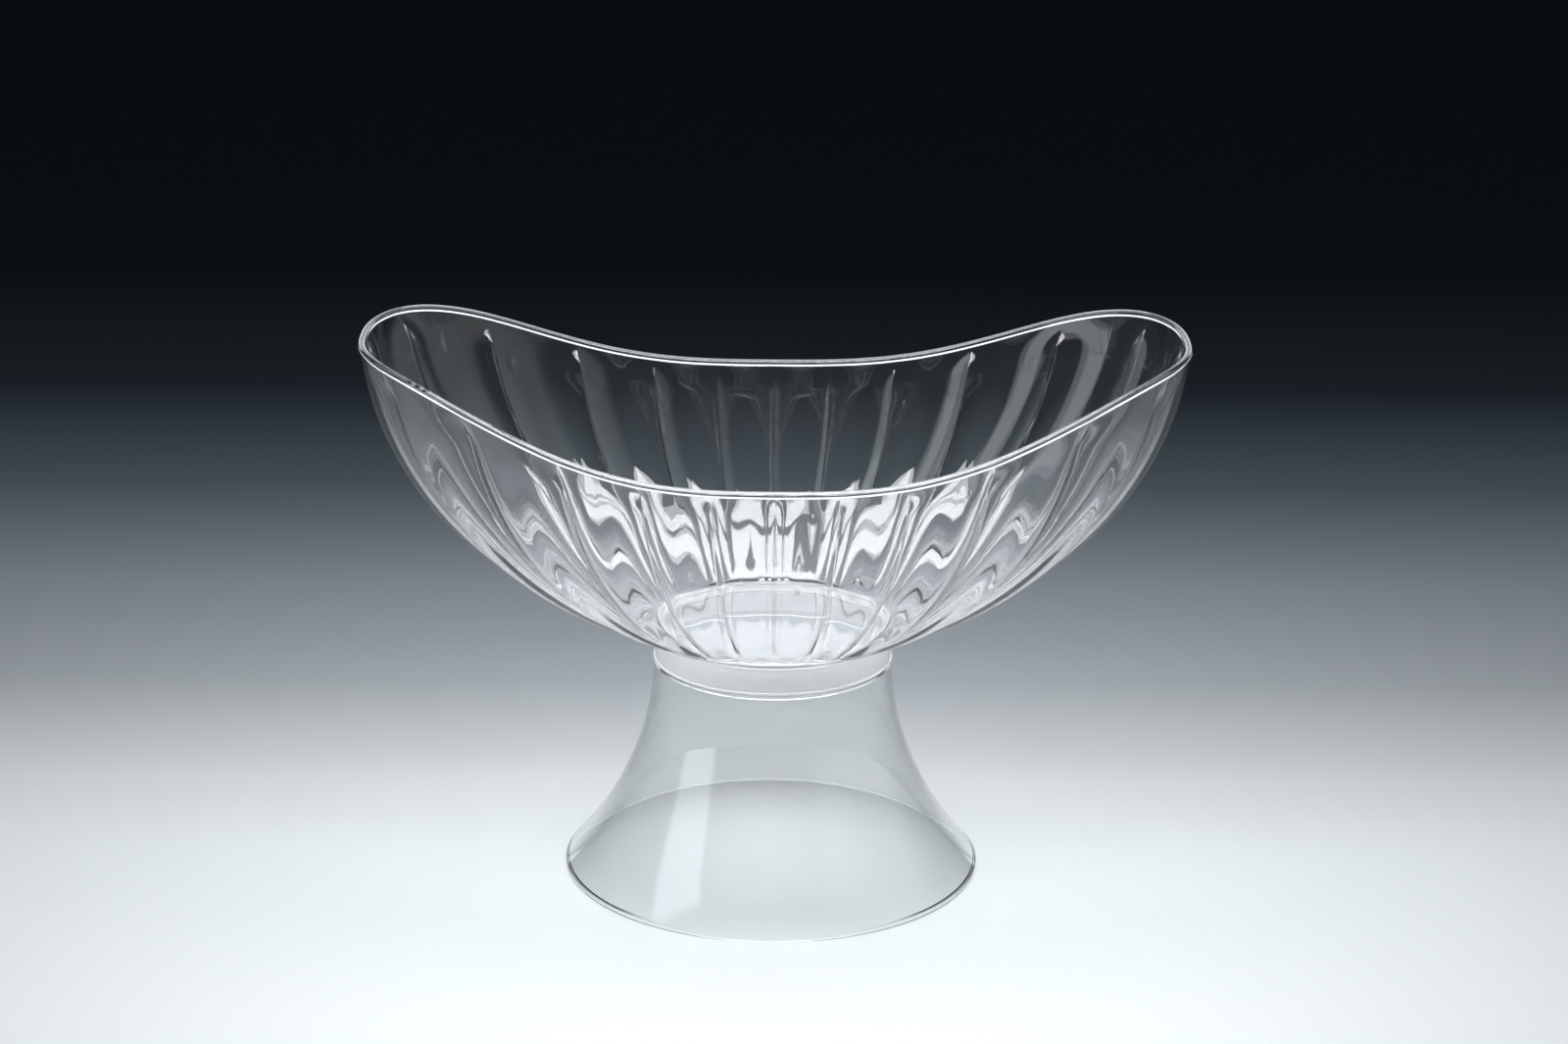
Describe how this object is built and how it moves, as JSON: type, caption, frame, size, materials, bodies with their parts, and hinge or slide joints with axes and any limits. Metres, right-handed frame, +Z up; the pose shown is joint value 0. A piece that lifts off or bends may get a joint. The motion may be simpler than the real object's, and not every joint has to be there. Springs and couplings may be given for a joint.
{
  "type": "display bowl",
  "caption": "Oval clear display bowl with fluted sides and a rim that dips along its length, standing on a hollow flared pedestal that it lifts off.",
  "frame": {"origin": "centre of the pedestal's standing face, on the floor", "axes": "+Z up, +X along the bowl's length, +Y across it"},
  "size_m": [0.4038, 0.2258, 0.2751],
  "materials": {
    "pedestal_plastic": "moulded, clear, polished, with a very slight grey haze",
    "bowl_plastic": "moulded, water clear, high polish"
  },
  "bodies": {
    "pedestal": {"pedestal": "pedestal_plastic"},
    "bowl": {"bowl": "bowl_plastic"}
  },
  "joints": [
    {"name": "bowl_lift", "type": "slide", "parent": "pedestal", "child": "bowl", "axis": [0, 0, 1], "range_m": [0, 0.04]}
  ]
}
